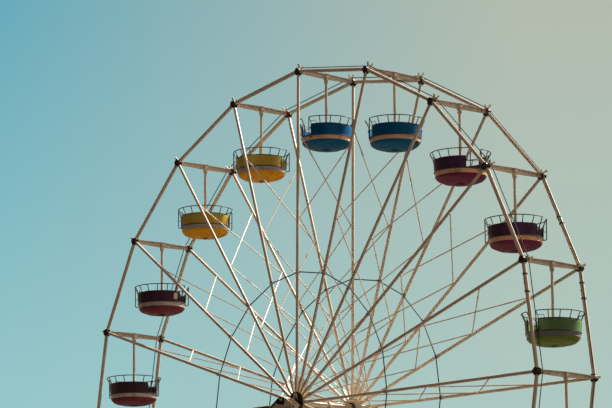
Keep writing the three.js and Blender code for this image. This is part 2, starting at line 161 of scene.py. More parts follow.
def loft(rows, paint=0, around=False):
    """Joins closed rows of points, the last to the first when around is true, and else with two caps."""
    rows = np.asarray(rows, float)
    n, m = rows.shape[:2]
    faces = []
    for i in range(n if around else n - 1):
        a, b = i * m, (i + 1) % n * m
        for j in range(m):
            k = (j + 1) % m
            faces.append((a + j, a + k, b + k, b + j))
    if not around:
        faces.append(tuple(range(m))[::-1])
        faces.append(tuple(range((n - 1) * m, n * m)))
    return Shape().put(rows.reshape(-1, 3), faces, [paint] * len(faces))


def circle(sides, radius=1.0, turn=0.0):
    a = (np.arange(sides) + turn) * 2 * math.pi / sides
    return np.stack([radius * np.cos(a), radius * np.sin(a)], 1)


def at_height(outline, z):
    return np.column_stack([outline, np.full(len(outline), z)])


def turned(levels, sides=24, paint=0):
    """A solid turned about Z, from its radius and height at each level."""
    ring = circle(sides)
    return loft([at_height(ring * r, z) for r, z in levels], paint)


def disc(radius, low, high, edge, sides, paint=0):
    """A turned disc or tube with its ends broken by edge, across and along."""
    small = radius - edge[0]
    levels = [(small, low), (radius, low + edge[1]), (radius, high - edge[1]), (small, high)]
    return turned(levels, sides, paint)


def ringed(profile, sides=48, paint=0):
    """A ring about Z, from its closed section of radius and height."""
    p = np.asarray(profile, float)
    rows = [np.column_stack([p[:, 0] * c, p[:, 0] * s, p[:, 1]]) for c, s in circle(sides)]
    return loft(rows, paint, around=True)


def gated(profile, half, segments=40, paint=0):
    """A ring about Z in two halves, with a gap of twice half at plus and at minus X."""
    p = np.asarray(profile, float)
    start = np.arcsin(half / p[:, 0])
    shape = Shape()
    for hand in (1, -1):
        rows = []
        for t in np.linspace(0, 1, segments + 1):
            a = start + (math.pi - 2 * start) * t
            rows.append(np.column_stack([p[:, 0] * np.cos(a), hand * p[:, 0] * np.sin(a), p[:, 1]]))
        shape.add(loft(rows, paint))
    return shape


def tube(path, radius, sides=12, paint=0, closed=False):
    """A round tube along a path, with one radius or a radius at each point."""
    path = np.asarray(path, float)
    radii = np.broadcast_to(radius, len(path))
    ahead = np.roll(path, -1, 0) - path
    ahead /= np.maximum(np.linalg.norm(ahead, axis=1), 1e-9)[:, None]
    behind = np.roll(ahead, 1, 0)
    if not closed:
        behind[0] = ahead[0]
        ahead[-1] = behind[-1]
    across = np.cross(ahead[0], (0.0, 0.0, 1.0))
    if np.linalg.norm(across) < 0.1:
        across = np.cross(ahead[0], (0.0, 1.0, 0.0))
    rows = []
    for i, point in enumerate(path):
        along = unit(ahead[i] + behind[i])
        across = unit(across - np.dot(across, along) * along)
        ring = circle(sides, radii[i], 0.5)
        rows.append(point + ring[:, :1] * across + ring[:, 1:] * np.cross(along, across))
    return loft(rows, paint, around=closed)


def rounded(points, radius, steps=4):
    """A path with its corners rounded."""
    points = [np.asarray(p, float) for p in points]
    out = [points[0]]
    for before, corner, after in zip(points, points[1:], points[2:]):
        a = corner + unit(before - corner) * radius
        b = corner + unit(after - corner) * radius
        for t in np.linspace(0, 1, steps + 1):
            out.append((1 - t) ** 2 * a + 2 * (1 - t) * t * corner + t * t * b)
    out.append(points[-1])
    return np.array(out)


def left_of(steps):
    """Unit vectors to the left of flat steps."""
    steps = steps / np.linalg.norm(steps, axis=1)[:, None]
    return np.column_stack([-steps[:, 1], steps[:, 0]])


def slab(outline, thickness, chamfer=0.002, paint=0):
    """A plate in the XY plane with its middle at Z 0 and its edges broken."""
    p = np.asarray(outline, float)
    area = (p[:, 0] * np.roll(p[:, 1], -1) - np.roll(p[:, 0], -1) * p[:, 1]).sum()
    if area < 0:
        p = p[::-1]
    normal = left_of(np.roll(p, -1, 0) - p)
    before = np.roll(normal, 1, 0)
    share = np.maximum(1 + (normal * before).sum(1), 0.2)
    small = p + (normal + before) / share[:, None] * chamfer
    h = thickness / 2
    rows = [(small, -h), (p, chamfer - h), (p, h - chamfer), (small, h)]
    return loft([at_height(*row) for row in rows], paint)


def block(x, y, z, chamfer=0.002, paint=0):
    return slab([(-x / 2, -y / 2), (x / 2, -y / 2), (x / 2, y / 2), (-x / 2, y / 2)], z, chamfer, paint)


def ribbon(points, thickness):
    """The outline of a bent strip that follows a line of points."""
    p = np.asarray(points, float)
    normal = left_of(np.diff(p, axis=0))
    first = np.vstack([normal, normal[-1:]])
    second = np.vstack([normal[:1], normal])
    offset = (first + second) / (1 + (first * second).sum(1))[:, None] * thickness / 2
    return np.vstack([p + offset, (p - offset)[::-1]])


def mirrored(points):
    """The points, then the same points on the other side of the X axis in reverse."""
    return list(points) + [(x, -y) for x, y in reversed(points)]


def bolt(radius):
    """A washer, a hexagon head and the end of the thread, standing on Z 0."""
    shape = turned([(1.5 * radius, 0), (1.5 * radius, 0.25 * radius)], 12)
    shape.add(turned([(radius, 0.2 * radius), (radius, 0.95 * radius), (0.8 * radius, 1.1 * radius)], 6))
    return shape.add(turned([(0.5 * radius, radius), (0.5 * radius, 1.45 * radius)], 8))


BOLT = bolt(0.012)
SMALL_BOLT = bolt(0.008)
BAND_BOLT = bolt(0.007)
STRIP_BOLT = bolt(0.005)
BIG_BOLT = bolt(0.02)


# Materials

class Nodes:
    """A node tree and the steps that build it. An input takes a plain value, a colour or a link."""

    def __init__(self, tree):
        self.tree = tree

    def feed(self, socket, value):
        if isinstance(value, bpy.types.NodeSocket):
            self.tree.links.new(value, socket)
        elif socket.type == "RGBA":
            socket.default_value = (*value, 1.0)
        else:
            socket.default_value = value

    def make(self, kind, inputs, **settings):
        made = self.tree.nodes.new(kind)
        for key, value in settings.items():
            setattr(made, key, value)
        for key, value in inputs.items():
            self.feed(made.inputs[key], value)
        return made

    def scaled(self, scale, turn=0.0):
        """The object's own coordinates, scaled and turned about Z."""
        inputs = {"Vector": self.spot, "Rotation": (0.0, 0.0, math.radians(turn)), "Scale": scale}
        return self.make("ShaderNodeMapping", inputs).outputs["Vector"]

    def noise(self, scale, detail=4.0, rough=0.55, stretch=(1, 1, 1)):
        inputs = {"Vector": self.scaled(stretch), "Scale": scale, "Detail": detail, "Roughness": rough}
        return self.make("ShaderNodeTexNoise", inputs).outputs["Fac"]

    def ramp(self, source, low, high, to_low=0.0, to_high=1.0):
        inputs = {"Value": source, "From Min": low, "From Max": high, "To Min": to_low, "To Max": to_high}
        return self.make("ShaderNodeMapRange", inputs, clamp=True).outputs["Result"]

    def along(self, source, direction):
        """How far a vector reaches in a direction."""
        inputs = {0: source, 1: tuple(direction)}
        return self.make("ShaderNodeVectorMath", inputs, operation="DOT_PRODUCT").outputs["Value"]

    def mix(self, factor, first, second):
        """Two colours mixed by a factor. The node's colours are its inputs 6 and 7 and its output 2."""
        inputs = {"Factor": factor, 6: first, 7: second}
        return self.make("ShaderNodeMix", inputs, data_type="RGBA").outputs[2]

    def bump(self, source, strength, distance):
        inputs = {"Height": source, "Strength": strength, "Distance": distance}
        return self.make("ShaderNodeBump", inputs)


class Paint(Nodes):
    """A material with one main shader."""

    def __init__(self, name):
        self.material = bpy.data.materials.new(name)
        self.material.use_nodes = True
        super().__init__(self.material.node_tree)
        self.spot = self.make("ShaderNodeTexCoord", {}).outputs["Object"]

    def shader(self, **inputs):
        """Feeds the main shader, each input by its name with _ for a space."""
        for key, value in inputs.items():
            self.feed(self.tree.nodes["Principled BSDF"].inputs[key.replace("_", " ")], value)
        return self.material


def shade(colour, factor):
    return tuple(min(1.0, c * factor) for c in colour)


def painted(name, colour, grime=(0.09, 0.06, 0.04), dirt=0.55, rust=0.6, rough=0.4,
            metallic=0.0, coat=0.0, edge=None, shine=0.5):
    """Old gloss paint with clouding, run marks, rust spots and rubbed edges. Dirt and rust are shares."""
    n = Paint(name)
    cloud = n.ramp(n.noise(0.9, 5.0), 0.3, 0.7)
    base = n.mix(cloud, shade(colour, 0.84), shade(colour, 1.1))
    run = n.ramp(n.noise(2.4, 5.0, 0.58, (1.6, 1.6, 0.28)), 0.5, 0.78, 0.0, dirt)
    base = n.mix(run, base, grime)
    spot = n.ramp(n.noise(9.0, 7.0, 0.68), 0.64, 0.72, 0.0, rust)
    base = n.mix(spot, base, (0.16, 0.055, 0.02))
    if edge is not None:
        rubbed = n.make("ShaderNodeNewGeometry", {}).outputs["Pointiness"]
        base = n.mix(n.ramp(rubbed, 0.53, 0.62, 0.0, 0.5), base, edge)
    skin = n.bump(n.noise(140.0, 2.0), 0.12, 0.0006).outputs[0]
    uneven = n.bump(n.noise(9.0, 6.0), 0.25, 0.0016)
    n.feed(uneven.inputs["Normal"], skin)
    gloss = n.ramp(n.noise(6.0, 5.0), 0.3, 0.75, rough - 0.1, rough + 0.22)
    n.shader(Base_Color=base, Roughness=gloss, Normal=uneven.outputs[0], Metallic=metallic,
             Specular_IOR_Level=shine)
    if coat:
        n.shader(Coat_Weight=coat, Coat_Roughness=0.12)
    return n.material


def wire_rope(name):
    """Greasy black rope with its strands as slanting bands."""
    n = Paint(name)
    wave = n.make("ShaderNodeTexWave", {"Vector": n.spot, "Scale": 26.0, "Distortion": 0.6},
                  wave_type="BANDS", bands_direction="DIAGONAL")
    black = n.mix(n.ramp(n.noise(5.0), 0.35, 0.7), (0.012, 0.013, 0.014), (0.05, 0.048, 0.045))
    return n.shader(Base_Color=black, Normal=n.bump(wave.outputs["Fac"], 0.4, 0.002).outputs[0],
                    Roughness=n.ramp(n.noise(9.0), 0.3, 0.7, 0.6, 0.8), Specular_IOR_Level=0.25)


def chequer(name, colour):
    """Worn tread plate with two ways of raised bars."""
    n = Paint(name)
    ways = []
    for turn in (45.0, -45.0):
        inputs = {"Vector": n.scaled((18.0, 46.0, 18.0), turn), "Scale": 1.0, "Randomness": 0.0}
        cell = n.make("ShaderNodeTexVoronoi", inputs, feature="F1")
        ways.append(n.ramp(cell.outputs["Distance"], 0.3, 0.42, 1.0, 0.0))
    bars = n.make("ShaderNodeMath", dict(enumerate(ways)), operation="MAXIMUM").outputs[0]
    worn = n.mix(n.ramp(n.noise(1.4, 6.0), 0.35, 0.7), shade(colour, 0.6), shade(colour, 1.15))
    worn = n.mix(n.ramp(bars, 0.2, 1.0, 0.0, 0.35), worn, (0.42, 0.41, 0.4))
    return n.shader(Base_Color=worn, Normal=n.bump(bars, 0.8, 0.003).outputs[0], Metallic=0.35,
                    Roughness=n.ramp(n.noise(8.0, 4.0), 0.3, 0.7, 0.4, 0.7))


def tub_paint(name, colour, rough):
    return painted(name, colour, shade(colour, 0.4), dirt=0.5, rust=0.1, rough=rough, shine=0.1)


def band_paint(name, colour):
    return painted(name, colour, grime=(0.06, 0.045, 0.035), dirt=0.6, rust=0.3, rough=0.34,
                   coat=0.2, edge=(0.5, 0.46, 0.4))


M_CREAM = painted("cream_gloss", (0.80, 0.69, 0.545), grime=(0.36, 0.27, 0.19), dirt=0.4,
                  rust=0.12, rough=0.42, shine=0.4)
M_LUG = painted("cream_lug", (0.82, 0.72, 0.56), grime=(0.3, 0.2, 0.13), dirt=0.4, rust=0.3)
M_WEB = painted("beam_web", (0.66, 0.6, 0.5), grime=(0.36, 0.28, 0.2), dirt=0.3, rust=0.1,
                rough=0.5)
M_DARK = painted("joint_steel", (0.035, 0.027, 0.022), grime=(0.012, 0.01, 0.009), rust=0.5, rough=0.5,
                 metallic=0.2, edge=(0.12, 0.09, 0.07))
M_RAIL = painted("rail_black", (0.012, 0.011, 0.012), grime=(0.03, 0.02, 0.015), rust=0.25, rough=0.35,
                 edge=(0.08, 0.06, 0.05))
M_RUBBER = painted("edge_rubber", (0.010, 0.010, 0.011), grime=(0.03, 0.026, 0.022), rust=0.0,
                   rough=0.6)
M_CABLE = wire_rope("wire_rope")
M_BASE = painted("base_grey", (0.28, 0.275, 0.26), dirt=0.7, rough=0.5, edge=(0.14, 0.1, 0.07))
M_DECK = chequer("tread_plate", (0.26, 0.26, 0.25))
M_GREASE = painted("old_grease", (0.022, 0.02, 0.018), rust=0.1, rough=0.8, shine=0.08)
M_STEEL = painted("bare_steel", (0.42, 0.4, 0.38), dirt=0.6, rust=0.4, rough=0.35, metallic=0.8)
M_PLATE = painted("plain_plate", (0.72, 0.72, 0.66), dirt=0.3, rust=0.2, rough=0.45)
# The band's ledge is painted near black as shade.
M_LEDGE_SHADE = painted("band_ledge_painted_shade", (0.05, 0.055, 0.06), rust=0.3, rough=0.3, coat=0.2)

# The colours of the wall, the bowl and the band, by slot

TUB_COLOURS = {
    "maroon_tub": ((0.072, 0.034, 0.066), (0.2, 0.04, 0.066), (0.61, 0.58, 0.55)),
    "yellow_tub": ((0.6, 0.46, 0.085), (0.97, 0.46, 0.02), (0.49, 0.47, 0.48)),
    "blue_tub": ((0.0, 0.118, 0.325), (0.0, 0.15, 0.33), (0.86, 0.58, 0.42)),
    "burgundy_tub": ((0.08, 0.038, 0.1), (0.2, 0.036, 0.1), (0.92, 0.54, 0.29)),
    "olive_tub": ((0.152, 0.31, 0.132), (0.2, 0.31, 0.058), (0.166, 0.235, 0.26)),
}
TUB_SLOTS = list(TUB_COLOURS)
M_WALL = {s: tub_paint("wall_" + s, colours[0], 0.3) for s, colours in TUB_COLOURS.items()}
# Bowls: their own paint, made lighter as painted bounce light from below.
M_BOWL_PAINT_AND_BOUNCE = {s: tub_paint("bowl_paint_and_bounce_" + s, colours[1], 0.32) for s, colours in TUB_COLOURS.items()}
M_BAND = {s: band_paint("band_" + s, colours[2]) for s, colours in TUB_COLOURS.items()}


def link_object(name, data):
    obj = bpy.data.objects.new(name, data)
    bpy.context.scene.collection.objects.link(obj)
    return obj


def piece(name, shape, body, materials, stands_for=()):
    mesh = bpy.data.meshes.new(name)
    mesh.from_pydata(np.concatenate(shape.points).tolist(), [], shape.faces)
    for material in materials:
        mesh.materials.append(material)
    mesh.polygons.foreach_set("material_index", shape.paints)
    work = bmesh.new()
    work.from_mesh(mesh)
    bmesh.ops.recalc_face_normals(work, faces=work.faces)
    work.to_mesh(mesh)
    work.free()
    mesh.shade_smooth()
    mesh.set_sharp_from_angle(angle=math.radians(34.0))
    obj = link_object(name, mesh)
    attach(obj, body)
    if stands_for:
        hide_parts(*stands_for)


def both_sides(make, new, old, body, materials):
    """The near and the far piece of one kind, each in place of its node."""
    for name, side in (("near", -1), ("far", 1)):
        piece(f"{name}_{new}", make(side), body, materials, [f"{name}_{old}"])


# Places on the wheel

def outward(i):
    a = math.radians(FIRST_ANGLE - STEP * i)
    return np.array([math.cos(a), 0.0, math.sin(a)])


def onward(i):
    out = outward(i)
    return np.array([-out[2], 0.0, out[0]])


def at_radius(i, radius, y):
    return np.array([0.0, y, HUB_Z]) + outward(i) * radius


# Rims

RIM_TUBE = 0.0615
ROPE, ROPE_OUT, ROPE_IN = 0.0145, 0.128, 0.107
NODE_PLATE = mirrored([(0.096, -0.045), (0.072, -0.085), (0.0, -0.13), (-0.07, -0.125), (-0.096, -0.078),
                       (-0.15, -0.046)])


def rim_node():
    """One bolted joint of the rim. Own X outward, own Z away from the cabins."""
    plate_z, plate = 0.069, 0.013
    shape = Shape().pair(slab(NODE_PLATE, plate, 0.0025, 1), (0, 0, plate_z))
    shape.add(ringed([(0.046, -0.089), (0.109, -0.089), (0.115, -0.083), (0.115, -0.05), (0.1, -0.044),
                      (0.1, 0.06), (0.11, 0.066), (0.11, 0.083), (0.104, 0.089), (0.046, 0.089)], 24, 1))
    shape.add(turned([(0.072, 0.089), (0.072, 0.1), (0.066, 0.105), (0.03, 0.11)], 20, 1))
    shape.bolts(SMALL_BOLT, circle(8, 0.09), 0.089, 1)
    spots = [(-0.05, 0.108), (-0.05, -0.108), (-0.128, 0.02), (-0.128, -0.02)]
    for face in (np.eye(4), flipped()):
        shape.bolts(BOLT, spots, plate_z + plate / 2, 1, face)
    return shape


def rope_fork():
    """A bent strip that cradles the rope. Own X inboard, own Y outward, own Z onward."""
    bend = [(-0.02, 0.258), (0.0, 0.226), (0.044, 0.103), (0.154, 0.103), (0.194, 0.2), (0.212, 0.222)]
    shape = slab(ribbon(bend, 0.026), 0.07, 0.003, 2)
    shape.add(block(0.05, 0.022, 0.044, 0.003, 1), (0.075, 0.094, 0))
    clamp = [(0.088, 0.1, 0), (0.088, 0.147, 0), (0.126, 0.147, 0), (0.126, 0.1, 0)]
    shape.add(tube(rounded(clamp, 0.014), 0.0045, 6, 1))
    shape.bolts(SMALL_BOLT, [(0.07, 0.016), (0.07, -0.016)], 0.0, 1, lying((0, 0.112, 0)))
    web = [(-0.02, -0.02), (0.02, -0.02), (0.014, 0.03), (-0.014, 0.03)]
    return shape.add(slab(web, 0.05, 0.002, 1), (0.07, 0.082, 0))


def splice(run):
    """A sleeve over the rim tube, from Z 0 to run, with two clamps and a bolt through its middle."""
    shape = disc(0.069, 0, run, (0.006, 0.004), 18)
    clamp = [(0.066, -0.018), (0.081, -0.018), (0.084, -0.014)]
    clamp += [(r, -z) for r, z in reversed(clamp)]
    for z in (0.006, run - 0.006):
        shape.add(ringed(clamp, 18, 1), (0, 0, z))
        shape.pair(block(0.03, 0.028, 0.03, 0.003, 1), (0.088, 0, 0), place((0, 0, z)))
    middle = end_on((0, 0, run / 2), -1)
    shape.add(turned([(0.009, -0.115), (0.009, 0.115)], 8, 1), middle)
    return shape.pair(turned([(0.02, -0.011), (0.02, 0.011)], 6, 1), (0, 0, 0.073), middle)


# Where the rims are spliced, by side and run, from where to where along the run

SPLICES = {-1: {8: (0.46, 1.03), 17: (1.6, 1.85)},
           1: {7: (1.6, 1.85), 8: (0.48, 1.0), 19: (1.5, 1.75), 12: (1.6, 1.85)}}


def rim(side):
    fork = rope_fork()
    joint = rim_node()
    shape = Shape()
    for i in range(CABINS):
        here = at_radius(i, RADIUS, side * RIM_Y)
        there = at_radius(i + 1, RADIUS, side * RIM_Y)
        way = unit(there - here)
        length = np.linalg.norm(there - here)
        stops = [0.105, 0.112, length - 0.112, length - 0.105]
        shape.add(tube([here + way * s for s in stops], [0.055, RIM_TUBE, RIM_TUBE, 0.055], 18))
        if i in SPLICES[side]:
            low, high = SPLICES[side][i]
            shape.add(splice(high - low), facing(here + way * low, way))
        shape.add(joint, place(here, outward(i), onward(i), (0, side, 0)))
        shape.add(fork, place(here, (0, -side, 0), outward(i), onward(i)))
    return shape


def rope(side):
    """One closed loop just outside a rim, straight from fork to fork."""
    ring = [at_radius(i, RADIUS + ROPE_OUT, side * (RIM_Y - ROPE_IN)) for i in range(CABINS)]
    path = []
    for here, there in zip(ring, ring[1:] + ring[:1]):
        path += [here + (there - here) * t for t in (0.0, 0.01, 0.5, 0.99)]
    return tube(path, ROPE, 10, closed=True)


both_sides(rim, "rim_frame", "rim", "wheel", [M_CREAM, M_DARK, M_LUG])
both_sides(rope, "rope", "rim_cable", "wheel", [M_CABLE])


# Spokes, inner ring and cross rods, with the radii at which the rods meet the spokes

SPOKE = 0.05
ROD = 0.0185
ROD_RADII = [0.81 * RADIUS, 0.556 * RADIUS, 0.303 * RADIUS, 0.98]
ROD_Y = RIM_Y - 0.09
HOOP = 0.019
HOOP_RADIUS = 4.42


def hub_flange():
    """Own Z away from the cabins, own X towards the right. The outer disc is painted dark as shade."""
    shape = Shape()
    # The outer disc (paint 1) is painted dark as shade on the face turned from the sun; the inner disc is
    # cream.
    for z, colour in ((-0.049, 2), (0.049, 1)):
        shape.add(disc(0.38, z - 0.011, z + 0.011, (0.006, 0.003), 60, colour))
    cover = [(0.14 * math.sin(a), 0.35 * math.cos(a)) for a in np.radians(np.arange(0, 360, 15))]
    shape.add(slab(cover, 0.02, 0.003, 2), (0, 0, 0.07))
    shape.bolts(BOLT, [(0, y) for y in (0.27, 0.2, -0.27, -0.2)], 0.08, 1)
    shape.add(ringed([(0.099, -0.06), (0.16, -0.06), (0.16, 0.1), (0.152, 0.108), (0.099, 0.108)], 36, 1))
    shape.add(ringed([(0.099, 0.108), (0.135, 0.108), (0.135, 0.12), (0.13, 0.126), (0.099, 0.126)], 36, 1))
    shape.bolts(BOLT, circle(10, 0.118), 0.126, 1)
    rib = slab([(0.15, 0), (0.31, 0), (0.16, 0.044), (0.15, 0.044)], 0.012, 0.002, 1)
    for k in range(10):
        shape.add(rib, fin_at(36 * k + 9, 0.06))
    return shape


def spoke():
    """A tube, its lug, the rods' collars and the hoop's clips. Own X outward, own Z away from the cabins."""
    shape = Shape().add(disc(SPOKE, 0.64, RADIUS - 0.13, (0.006, 0.01), 18), end_on())
    lug = [(0.19, -0.024), (0.38, -0.04), (0.62, -0.046), (0.84, -0.046), (0.88, -0.03)]
    cheek = [(0.39, -0.04)] + lug[2:]
    shape.pair(slab(mirrored(cheek), 0.012, 0.002, 2), (0, 0, 0.052))
    shape.add(slab(mirrored(lug), 0.07, 0.004, 2))
    for x in (0.25, 0.34):
        shape.add(BOLT, (x, 0, 0.06), 1)
        shape.add(BOLT, flipped((x, 0, -0.06)), 1)
    shape.bolts(BOLT, [(0.5, 0), (0.76, 0)], 0.058, 1)
    for r in ROD_RADII[:3]:
        collar = ringed([(0.049, -0.02), (0.055, -0.017), (0.055, 0.017), (0.049, 0.02)], 18)
        shape.add(collar, end_on((r, 0, 0)))
        ear = [(r - 0.03, -0.05), (r + 0.03, -0.05), (r + 0.022, -0.095), (r - 0.022, -0.095)]
        shape.add(slab(ear, 0.05, 0.003), upright(face=-1))
    loop = [(0.0, -0.09), (0.06, -0.09), (0.06, 0.056), (-0.06, 0.056), (-0.06, -0.09), (0.0, -0.09)]
    clip = rounded([(HOOP_RADIUS - 0.03, y, z) for y, z in loop], 0.02, 3)
    for shift in (0.0, 0.06):
        shape.add(tube(clip + np.array([shift, 0, 0]), 0.006, 6, 1))
    return shape


def spokes(side):
    hub = (0, side * RIM_Y, HUB_Z)
    shape = Shape().add(hub_flange(), upright(hub, 1, side))
    one = spoke()
    for i in range(CABINS):
        shape.add(one, place(hub, outward(i), onward(i), (0, side, 0)))
    return shape


def inner_hoop(side):
    path = [at_radius(i, HOOP_RADIUS, side * (RIM_Y - SPOKE - 0.0155)) for i in range(CABINS)]
    return tube(path, HOOP, 10, closed=True)


both_sides(spokes, "spoke_set", "spokes", "wheel", [M_CREAM, M_DARK, M_LUG])
both_sides(inner_hoop, "inner_hoop", "inner_ring", "wheel", [M_DARK])


def cross_rod(start, end):
    """A thin rod with a tongue, a collar and a pin at each end, and a turnbuckle."""
    way = unit(end - start)
    shape = tube([start + way * 0.05, end - way * 0.05], ROD, 8)
    tongue = slab([(-0.022, -0.02), (0.022, -0.02), (0.022, 0.05), (0.0, 0.075), (-0.022, 0.05)], 0.012)
    for spot, lead in ((start, way), (end, -way)):
        fit = facing(spot, lead)
        flat = place(spot, fit[:3, 0], lead, fit[:3, 1])
        shape.add(tongue, flat)
        shape.add(turned([(0.0225, 0.05), (0.0225, 0.1), (ROD, 0.115)], 8), fit)
        shape.add(turned([(0.009, -0.014), (0.009, 0.014)], 6, 1), flat)
    middle = facing(start + (end - start) * 0.22, way)
    shape.pair(block(0.009, 0.02, 0.15), (0.021, 0, 0), middle)
    return shape.pair(disc(0.026, -0.012, 0.012, (0.002, 0.003), 8), (0, 0, 0.075), middle)


def cross_rods():
    """Rods that cross between the two spokes of each pair."""
    shape = Shape()
    for i in range(CABINS):
        for outer, inner in zip(ROD_RADII, ROD_RADII[1:]):
            for hand in (1, -1):
                start, end = at_radius(i, outer, -hand * ROD_Y), at_radius(i, inner, hand * ROD_Y)
                shift = onward(i) * 0.02 * hand
                shape.add(cross_rod(start + shift, end + shift))
    return shape


piece("cross_rods", cross_rods(), "wheel", [M_CREAM, M_DARK])


# Axle. The bearings stand in the planes of the two towers.

TOWER_Y = 1.7
BEARING_HALF = 0.17
SHAFT_PAST = 0.35


def axle():
    """Own Z along the axle: a drum with fins and flanges, and the shaft out to both bearings."""
    drum, half = 0.13, 1.1
    tip = TOWER_Y + SHAFT_PAST
    collar = TOWER_Y - BEARING_HALF
    shape = turned([(drum, -half), (drum, half)], 40)
    rib = slab([(0.125, 0), (0.195, 0), (0.125, -0.16)], 0.01)
    for end in (1, -1):
        turn = flipped(end=end)
        flange = [(drum, half - 0.01), (0.2, half), (0.205, half + 0.005), (0.205, 1.16), (0.2, 1.168)]
        shape.add(turned(flange, 40, 1), turn)
        shape.bolts(BOLT, circle(12, 0.172), 0.0, 1, turn @ flipped((0, 0, half)))
        shape.add(turned([(0.0965, 1.3), (0.0965, tip - 0.012), (0.088, tip)], 32, 3), turn)
        shaft_ring = [(0.128, -0.061), (0.135, -0.056), (0.135, -0.008), (0.13, -0.002)]
        shape.add(turned([(r, collar + z) for r, z in shaft_ring], 32, 1), turn)
        shape.add(turned([(0.05, tip), (0.05, tip + 0.012), (0.044, tip + 0.016)], 20, 3), turn)
        for k in range(8):
            shape.add(rib, turn @ fin_at(45 * k, half))
    fin = slab([(0.12, 0.01 - half), (0.16, 0.01 - half), (0.16, half - 0.01), (0.12, half - 0.01)], 0.014)
    for k in range(10):
        shape.add(fin, fin_at(36 * k + 18))
    for y in (0.085, 0.115):
        shape.add(disc(0.182, y - 0.013, y + 0.013, (0.004, 0.003), 40))
    shape.bolts(BOLT, circle(16, 0.158), 0.128, 1)
    return shape.bolts(BOLT, circle(16, 0.158), 0.0, 1, flipped((0, 0, 0.072)))


piece("axle", Shape().add(axle(), lying((0, 0, HUB_Z))), "wheel", [M_CREAM, M_DARK, M_STEEL, M_GREASE],
      ["hub_axle"])


# Hangers

def channel(hand):
    """One of the two channels of the crossbeam, open away from the other, with its inside greyer."""
    reach, deep, shallow, thick = 1.1395, 0.08, 0.0575, 0.013
    rows = []
    for y, h in ((-reach, shallow), (-0.2, deep), (0.2, deep), (reach, shallow)):
        low = [(0.006, -h), (0.06, -h), (0.06, thick - h), (0.018, thick - h + 0.004)]
        section = low + [(x, -z) for x, z in reversed(low)]
        rows.append([(hand * x, y, z) for x, z in section])
    shape = loft(rows)
    for k, face in enumerate(shape.faces):
        if len(face) == 4 and k % 8 in (2, 3, 4):
            shape.paints[k] = 1
    return shape


def beam_end(hand):
    """An end block of the crossbeam with its journal, and two bolted blocks between the channels."""
    block_end = [(-0.08, -0.056), (0.078, -0.054), (0.078, 0.054), (-0.08, 0.056)]
    shape = Shape().add(slab(block_end, 0.1, 0.003, 1), crosswise((0, hand * 1.06, 0), hand))
    out = place(y=(0, 0, -hand), z=(0, hand, 0))
    shape.add(turned([(0.0395, 1.0), (0.0395, 1.292)], 20, 3), out)
    for y in (0.42, 0.78):
        for x in (1, -1):
            web = place((x * 0.018, hand * y, 0), (0, 1, 0), (0, 0, 1), (x, 0, 0))
            shape.bolts(SMALL_BOLT, [(0, 0.03), (0, -0.03)], 0.0, 2, web)
        shape.add(block(0.03, 0.06, 0.12, 0.002, 1), (0, hand * y, 0))
    return shape


def collar_straps():
    """The bolted box that holds the pole at the middle of the crossbeam."""
    shape = Shape()
    cheek = slab(mirrored([(0.088, -0.055), (-0.088, -0.055), (-0.15, -0.03), (-0.23, -0.03)]), 0.012)
    spots = [(0.06, 0.035), (0.06, -0.035), (-0.06, 0.035), (-0.06, -0.035), (-0.19, 0)]
    for x in (1, -1):
        side_on = end_on((x * 0.067, 0, 0), x)
        shape.add(cheek, side_on)
        shape.bolts(BOLT, spots, 0.006, 2, side_on)
    for y in (1, -1):
        shape.add(block(0.134, 0.012, 0.17), (0, y * 0.058, 0.0))
        gusset = slab([(0.045, -0.08), (0.13, -0.08), (0.056, -0.17), (0.045, -0.18)], 0.014)
        shape.add(gusset, crosswise(hand=y))
    shape.add(block(0.15, 0.13, 0.012), (0, 0, 0.087))
    return shape.add(turned([(0.056, -0.235), (0.062, -0.23), (0.062, -0.082)]))


def pole():
    """The pole down from the collar, the plate under the tub and the nut under the plate."""
    shape = turned([(0.045, -TUB_DROP - 0.02), (0.045, -0.1)])
    # The plate under the tub takes paint 4, the bowl's colour lightened as painted bounce light; the nut is
    # dark.
    foot = [(32, 4, [(0.14, 0.022), (0.149, 0.018), (0.149, 0.0008)]),
            (24, 2, [(0.074, 0.03), (0.08, 0.027), (0.08, 0.021)]),
            (6, 2, [(0.032, 0.048), (0.036, 0.044), (0.036, 0.022)])]
    for sides, paint, levels in foot:
        shape.add(turned([(r, -TUB_DROP - below) for r, below in levels], sides, paint))
    return shape.bolts(SMALL_BOLT, circle(8, 0.115), 0.0, 4, flipped((0, 0, -TUB_DROP - 0.022)))


def hanger():
    """Measured from the middle of the crossbeam."""
    shape = channel(1).add(channel(-1))
    return shape.add(beam_end(1)).add(beam_end(-1)).add(collar_straps()).add(pole())


# Tubs, measured from the underside, with the gates at own plus and minus X

GATE = 0.24
WALL_R = 0.864
RAIL_HIGH = 0.98
RAIL_R = 0.975
RAIL_START, RAIL_STOP = 15.2, 173.7
POST_TURNS = [38.7 + 22.5 * k for k in range(6)]
TILT = 0.074


def smooth_step(low, high, value):
    t = np.clip((value - low) / (high - low), 0, 1)
    return t * t * (3 - 2 * t)


def bowl():
    """The bowl with its two wide panels, and a narrow one under each gate."""
    sides = 108
    ring = circle(sides)
    turn = np.arange(sides) * 2 * math.pi / sides
    away = np.degrees(np.abs((turn + math.pi / 2) % math.pi - math.pi / 2))
    panels = smooth_step(21, 24.5, away) + 1 - smooth_step(12.5, 16, away)
    rows = [at_height(0.054 * ring, 0.0)]
    for t in np.linspace(0, math.pi / 2, 15):
        share = t / (math.pi / 2)
        upright_share = smooth_step(0.2, 0.27, share) - smooth_step(0.88, 0.94, share)
        sunk = 0.013 * upright_share * panels
        radii = 0.3 + 0.515 * math.sin(t) - sunk * math.sin(t)
        heights = 0.2 * (1 - math.cos(t)) + sunk * math.cos(t)
        rows.append(np.column_stack([ring * radii[:, None], heights]))
    inside = [(0.817, 0.236), (0.8, 0.24), (0.47, 0.085), (0.45, 0.07), (0.054, 0.07)]
    rows += [at_height(r * ring, z) for r, z in inside]
    return loft(rows, 1, around=True)


